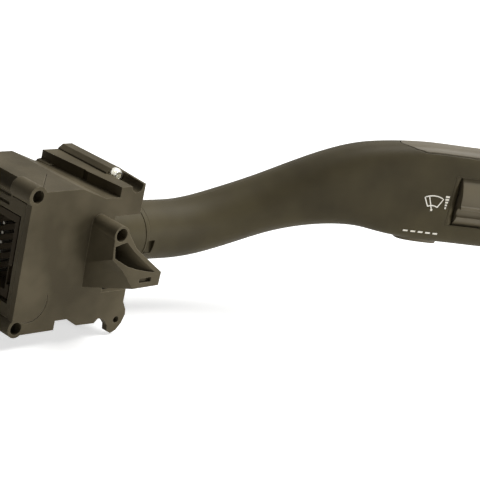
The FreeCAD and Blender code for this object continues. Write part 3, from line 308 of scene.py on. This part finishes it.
@dataclass
class Dresser:
    """Gives CAD nodes their finishes and places the new pieces on their bodies."""

    nodes: Dict[str, bpy.types.Object]
    built: Dict[str, bpy.types.Material] = field(default_factory=dict)

    def material(self, finish: Finish) -> bpy.types.Material:
        """Return a finish's material, built once.

        Args:
            finish: the finish.

        Returns:
            Its material, shared by every piece in that finish.
        """
        if finish.name not in self.built:
            self.built[finish.name] = finish.build()
        return self.built[finish.name]

    def dress(self, finish: Finish, *names: str) -> None:
        """Give a finish to CAD nodes.

        Args:
            finish: the finish.
            names: the nodes' names.
        """
        for name in names:
            node = self.nodes[name]
            node.data.materials.clear()
            node.data.materials.append(self.material(finish))
            LOG.info("dressed %s in %s", name, finish.name)

    def place(self, piece: bpy.types.Object, finish: Finish, body: str, slot: str) -> None:
        """Finish a new piece and let it ride on a body.

        Args:
            piece: the new piece, its place in its mesh.
            finish: its finish.
            body: the CAD body that it moves with.
            slot: the record's material slot; not used.
        """
        piece.data.materials.append(self.material(finish))
        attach(piece, body)
        LOG.info("placed %s on %s", piece.name, body)


def clear_selection() -> None:
    for item in bpy.context.view_layer.objects:
        item.select_set(False)


def make_active(piece: bpy.types.Object) -> None:
    """Select one object alone and make it active.

    Args:
        piece: the object.
    """
    clear_selection()
    piece.select_set(True)
    bpy.context.view_layer.objects.active = piece


def settle(piece: bpy.types.Object) -> bpy.types.Object:
    """Apply a piece's place, so that its object sits at the origin.

    Args:
        piece: the piece.

    Returns:
        The same piece.
    """
    make_active(piece)
    bpy.ops.object.transform_apply(location=True, rotation=True, scale=True)
    return piece


def flat_print(name: str, outline: Sequence[Point]) -> bpy.types.Object:
    """Make a flat sheet from a closed outline in millimetres, standing in the XZ plane.

    Args:
        name: the piece's name.
        outline: the outline, across and up.

    Returns:
        The piece as a mesh at the origin, its front facing -Y.
    """
    curve = bpy.data.curves.new(name, "CURVE")
    curve.dimensions = "2D"
    curve.fill_mode = "BOTH"
    spline = curve.splines.new("POLY")
    spline.points.add(len(outline) - 1)
    for point, (across, up) in zip(spline.points, outline):
        point.co = (across * MM, up * MM, 0.0, 1.0)
    spline.use_cyclic_u = True
    piece = bpy.data.objects.new(name, curve)
    bpy.context.scene.collection.objects.link(piece)
    make_active(piece)
    bpy.ops.object.convert(target="MESH")
    piece = bpy.context.view_layer.objects.active
    piece.name = name
    piece.data.transform(Matrix.Rotation(math.pi / 2, 4, "X"))
    return piece


def stroke(points: Sequence[Point], width: float) -> List[Point]:
    """Return the outline of a line of even width along some points.

    Args:
        points: the line's points in millimetres.
        width: its width in millimetres.

    Returns:
        The closed outline.
    """
    left: List[Point] = []
    right: List[Point] = []
    for number, here in enumerate(points):
        before = points[max(number - 1, 0)]
        after = points[min(number + 1, len(points) - 1)]
        along = Vector((after[0] - before[0], after[1] - before[1])).normalized()
        out = Vector((-along.y, along.x)) * width / 2
        left.append((here[0] + out.x, here[1] + out.y))
        right.append((here[0] - out.x, here[1] - out.y))
    return left + right[::-1]


def arc(centre: Point, radius: float, start: float, end: float, count: int = 16) -> List[Point]:
    """Return points along an arc.

    Args:
        centre: the arc's centre.
        radius: its radius.
        start: its first angle in degrees, from the right and counter-clockwise.
        end: its last angle.
        count: the number of steps.

    Returns:
        The points, first to last.
    """
    angles = [math.radians(start + (end - start) * step / count) for step in range(count + 1)]
    return [(centre[0] + radius * math.cos(a), centre[1] + radius * math.sin(a)) for a in angles]


@dataclass
class SwitchCase:
    """The moulded case with its socket, cover, screws and everything fixed inside it."""

    dresser: Dresser

    def dress(self) -> None:
        """Give every fixed node its finish."""
        self.dresser.dress(HOUSING_NYLON, "main_housing", "end_cover", "back_cover")
        self.dresser.dress(SOCKET_NYLON, "connector_housing", "carriage_guide", "detent_gate", "wash_switch")
        self.dresser.dress(SHADED_TERMINAL_TIN, "connector_pins")
        self.dresser.dress(BOARD_LAMINATE, "circuit_board")
        self.dresser.dress(CONTACT_BRASS, "contact_tracks")
        self.dresser.dress(SCREW_PHOSPHATE, "cover_screws")
        self.dresser.dress(SCREW_ZINC, "fixing_screw")


@dataclass
class Gimbal:
    """The ring, its pin and springs, and the sliding contacts that it drives."""

    dresser: Dresser

    def dress(self) -> None:
        """Give every moving inner node its finish."""
        self.dresser.dress(ARM_ACETAL, "gimbal_ring", "core_arm")
        self.dresser.dress(PIN_STEEL, "cross_pin", "detent_plunger")
        self.dresser.dress(SPRING_STEEL, "return_spring", "detent_spring")
        self.dresser.dress(SOCKET_NYLON, "contact_carriage")
        self.dresser.dress(CONTACT_BRASS, "wiper_contacts")


@dataclass
class Lever:
    """The swan-neck lever, its root collars and what lies inside it."""

    dresser: Dresser

    def dress(self) -> None:
        """Give every node of the lever its finish."""
        self.dresser.dress(LEVER_ABS, "root_sleeve", "seal_ring", "lever_front_shell", "lever_rear_shell",
                           "paddle_cap", "wheel_bezel")
        self.dresser.dress(SCREW_PHOSPHATE, "lever_screws")
        self.dresser.dress(PIN_STEEL, "rocker_pin", "wheel_pin")
        self.dresser.dress(BOARD_LAMINATE, "paddle_board")
        self.dresser.dress(SOCKET_NYLON, "paddle_switches")
        self.dresser.dress(CABLE_PVC, "ribbon_cable")


@dataclass
class PaddleControls:
    """The thumbwheel, the rocker and the button, and the prints beside them.

    The paddle is turned about Z by turn_deg. A print is drawn in millimetres, along the paddle
    and up from origin_mm, starts at start_mm before that point, and is pressed onto the shell.
    """

    dresser: Dresser
    origin_mm: Place = (123.17, -55.68, 21.0)
    turn_deg: float = -30.0
    start_mm: float = -13.6
    ink_mm: float = 0.05
    line_mm: float = 0.37
    sign_centre: Point = (6.7, -6.3)
    sign_radii: Tuple[float, float] = (7.2, 3.75)
    sign_angles: Tuple[float, float] = (118.0, 62.0)
    blade: Tuple[Point, Point] = ((4.95, 0.3), (6.55, -3.9))
    blade_pivot: Point = (6.6, -4.1)
    blade_pivot_radius: float = 0.4
    blade_pivot_sides: int = 16
    mark_lengths: Tuple[float, ...] = (1.4, 1.3, 1.0, 0.75, 0.55)
    mark_middle: float = 11.4
    mark_top: float = 1.04
    mark_step: float = 0.985
    mark_height: float = 0.66
    dash_count: int = 5
    dash_left: float = -1.2
    dash_step: float = 2.7
    dash_length: float = 1.7
    dash_level: float = -12.6
    dash_height: float = 0.6

    def dress(self) -> None:
        """Give the controls their finish."""
        self.dresser.dress(CONTROL_ABS, "trip_rocker", "reset_button", "interval_wheel")

    def wrap(self, sheet: bpy.types.Object) -> None:
        """Stand a sheet before the paddle's face and lay it on the shell.

        Args:
            sheet: the sheet, drawn at the origin in the paddle's own directions.
        """
        turn = Matrix.Rotation(math.radians(self.turn_deg), 4, "Z")
        sheet.data.transform(Matrix.Translation((0.0, self.start_mm * MM, 0.0)))
        sheet.data.transform(Matrix.Translation(Vector(self.origin_mm) * MM) @ turn)
        inward = turn.to_3x3() @ Vector((0, 1, 0))
        shell = self.dresser.nodes["lever_front_shell"]
        for vertex in sheet.data.vertices:
            hit, where, _, _ = shell.ray_cast(vertex.co, inward)
            if hit:
                vertex.co = where - inward * self.ink_mm * MM

    def printed(self, name: str, outline: Sequence[Point]) -> None:
        """Print a mark on the paddle's face.

        Args:
            name: the piece's name.
            outline: its outline in the paddle's own millimetres, along and up.
        """
        piece = flat_print(name, outline)
        make_active(piece)
        bpy.ops.object.mode_set(mode="EDIT")
        bpy.ops.mesh.select_all(action="SELECT")
        bpy.ops.mesh.remove_doubles(threshold=WELD)
        bpy.ops.mesh.quads_convert_to_tris()
        bpy.ops.mesh.subdivide(number_cuts=1)
        bpy.ops.object.mode_set(mode="OBJECT")
        self.wrap(piece)
        skin = piece.modifiers.new("ink", "SOLIDIFY")
        skin.thickness = self.ink_mm * MM
        skin.offset = 0.0
        bpy.ops.object.modifier_apply(modifier="ink")
        bpy.ops.object.mode_set(mode="EDIT")
        bpy.ops.mesh.select_all(action="SELECT")
        bpy.ops.mesh.normals_make_consistent(inside=False)
        bpy.ops.object.mode_set(mode="OBJECT")
        self.dresser.place(piece, PRINT_INK, "lever", "control_plastic")

    def wiper_symbol(self) -> None:
        """Print the general sign for a wiper: a screen's outline, a blade and its pivot."""
        outer, inner = self.sign_radii
        left, right = self.sign_angles
        screen = arc(self.sign_centre, outer, left, right) + arc(self.sign_centre, inner, right, left)
        self.printed("wiper_sign_screen", stroke(screen + screen[:2], self.line_mm))
        self.printed("wiper_sign_blade", stroke(self.blade, self.line_mm))
        steps = self.blade_pivot_sides - 1
        last = 360.0 * steps / self.blade_pivot_sides
        self.printed("wiper_sign_pivot", arc(self.blade_pivot, self.blade_pivot_radius, 0.0, last, steps))

    def interval_marks(self) -> None:
        """Print the graded marks beside the wheel, widest at the top."""
        for number, length in enumerate(self.mark_lengths):
            level = self.mark_top - self.mark_step * number
            row = [(self.mark_middle - length / 2, level), (self.mark_middle + length / 2, level)]
            self.printed("interval_mark_%d" % number, stroke(row, self.mark_height))

    def button_marks(self) -> None:
        """Print a plain row of dashes over the button."""
        for number in range(self.dash_count):
            left = self.dash_left + self.dash_step * number
            row = [(left, self.dash_level), (left + self.dash_length, self.dash_level)]
            self.printed("button_mark_%d" % number, stroke(row, self.dash_height))


@dataclass
class Studio:
    """The white floor and world, two soft lamps, and the camera where the photograph was taken from."""

    floor_level_mm: float = -27.6
    floor_size: float = 8.0
    lens_mm: float = 127.5
    sensor_mm: float = 36.0
    clip: Tuple[float, float] = (0.01, 20.0)
    camera_at: Place = (-0.324764, -0.386742, 0.168918)
    right: Place = (0.6996, -0.6862, 0.1991)
    up: Place = (0.0835, 0.3552, 0.931)
    back: Place = (-0.7096, -0.6348, 0.3058)
    world_level: float = 0.03
    aim: Place = (0.06, -0.03, 0.0)
    top_at: Place = (0.36, -0.12, 0.66)
    top_size: float = 0.5
    top_watts: float = 7.0
    right_at: Place = (0.48, -0.77, 0.05)
    right_size: float = 0.35
    right_watts: float = 5.2
    lamp_specular: float = 0.15
    near_glow: float = 0.65
    near_mm: float = 300.0
    far_mm: float = 900.0

    @staticmethod
    def seen(tree: bpy.types.NodeTree) -> bpy.types.NodeSocket:
        """Return a value that is 1 for camera, glossy and transmission rays, and 0 for others.

        Args:
            tree: the nodes of the material or world.

        Returns:
            The value.
        """
        path = add_node(tree, "ShaderNodeLightPath")
        value = path.outputs["Is Camera Ray"]
        for kind in ("Is Glossy Ray", "Is Transmission Ray"):
            value = add_node(tree, "ShaderNodeMath", {"operation": "MAXIMUM"},
                             {0: value, 1: path.outputs[kind]}).outputs[0]
        return value

    def paper(self) -> bpy.types.Material:
        """Build the floor's paper.

        Near the object it takes the lamps' light and the shadow, and to the rays that see it, it
        glows white further away. To the light that reaches the object it is plain paper.

        Returns:
            The paper's material.
        """
        material = bpy.data.materials.new("studio_white_paper")
        tree = empty_tree(material)
        matt = add_node(tree, "ShaderNodeBsdfDiffuse", {"Color": linear(PAPER_TONE)})
        place = add_node(tree, "ShaderNodeTexCoord").outputs["Object"]
        away = add_node(tree, "ShaderNodeVectorMath", {"operation": "LENGTH"}, {"Vector": place})
        level = add_node(tree, "ShaderNodeMapRange",
                         {"From Min": self.near_mm * MM, "From Max": self.far_mm * MM,
                          "To Min": self.near_glow, "To Max": 1.0}, {"Value": away.outputs["Value"]})
        strength = add_node(tree, "ShaderNodeMath", {"operation": "MULTIPLY"},
                            {0: self.seen(tree), 1: level.outputs["Result"]})
        glow = add_node(tree, "ShaderNodeEmission", {"Color": WHITE}, {"Strength": strength.outputs[0]})
        both = add_node(tree, "ShaderNodeAddShader", {}, {0: matt.outputs[0], 1: glow.outputs[0]})
        add_node(tree, "ShaderNodeOutputMaterial", {}, {"Surface": both.outputs[0]})
        return material

    def floor(self) -> None:
        """Lay the floor."""
        clear_selection()
        bpy.ops.mesh.primitive_plane_add(size=self.floor_size, location=(0.0, 0.0, self.floor_level_mm * MM))
        sheet = settle(bpy.context.active_object)
        sheet.name = "studio_floor"
        sheet.data.materials.append(self.paper())

    def world(self) -> None:
        """Light the scene with an even dim world that the camera sees as white."""
        world = bpy.data.worlds.new("studio_world")
        bpy.context.scene.world = world
        tree = empty_tree(world)
        strength = add_node(tree, "ShaderNodeMapRange", {"To Min": self.world_level, "To Max": 1.0},
                            {"Value": self.seen(tree)})
        sky = add_node(tree, "ShaderNodeBackground", {"Color": WHITE},
                       {"Strength": strength.outputs["Result"]})
        add_node(tree, "ShaderNodeOutputWorld", {}, {"Surface": sky.outputs[0]})

    def lamp(self, name: str, at: Place, size: float, watts: float) -> None:
        """Add one soft lamp that faces the object.

        Args:
            name: the lamp's name.
            at: its place in metres.
            size: the side of its square.
            watts: its power.
        """
        light = bpy.data.lights.new(name, "AREA")
        light.size = size
        light.energy = watts
        light.specular_factor = self.lamp_specular
        lamp = bpy.data.objects.new(name, light)
        lamp.location = at
        lamp.rotation_euler = (Vector(self.aim) - Vector(at)).to_track_quat("-Z", "Y").to_euler()
        bpy.context.scene.collection.objects.link(lamp)

    def camera(self) -> None:
        """Set the camera where the photograph was taken from."""
        data = bpy.data.cameras.new("photo_camera")
        data.lens = self.lens_mm
        data.sensor_width = self.sensor_mm
        data.clip_start, data.clip_end = self.clip
        camera = bpy.data.objects.new("photo_camera", data)
        turn = Matrix((self.right, self.up, self.back)).transposed().to_4x4()
        camera.matrix_world = Matrix.Translation(self.camera_at) @ turn
        bpy.context.scene.collection.objects.link(camera)
        bpy.context.scene.camera = camera

    def build(self) -> None:
        """Set up the whole studio."""
        self.floor()
        self.world()
        self.lamp("top_softbox", self.top_at, self.top_size, self.top_watts)
        self.lamp("right_softbox", self.right_at, self.right_size, self.right_watts)
        self.camera()
        bpy.context.scene.view_settings.view_transform = "Standard"


def main() -> None:
    """Build and dress every sub-assembly, then the studio."""
    logging.basicConfig(level=logging.INFO, format="%(message)s")
    dresser = Dresser(frame["nodes"])
    Studio().build()
    for assembly in (SwitchCase(dresser), Gimbal(dresser), Lever(dresser)):
        assembly.dress()
    controls = PaddleControls(dresser)
    controls.dress()
    controls.wiper_symbol()
    controls.interval_marks()
    controls.button_marks()


if __name__ == "__main__":
    main()
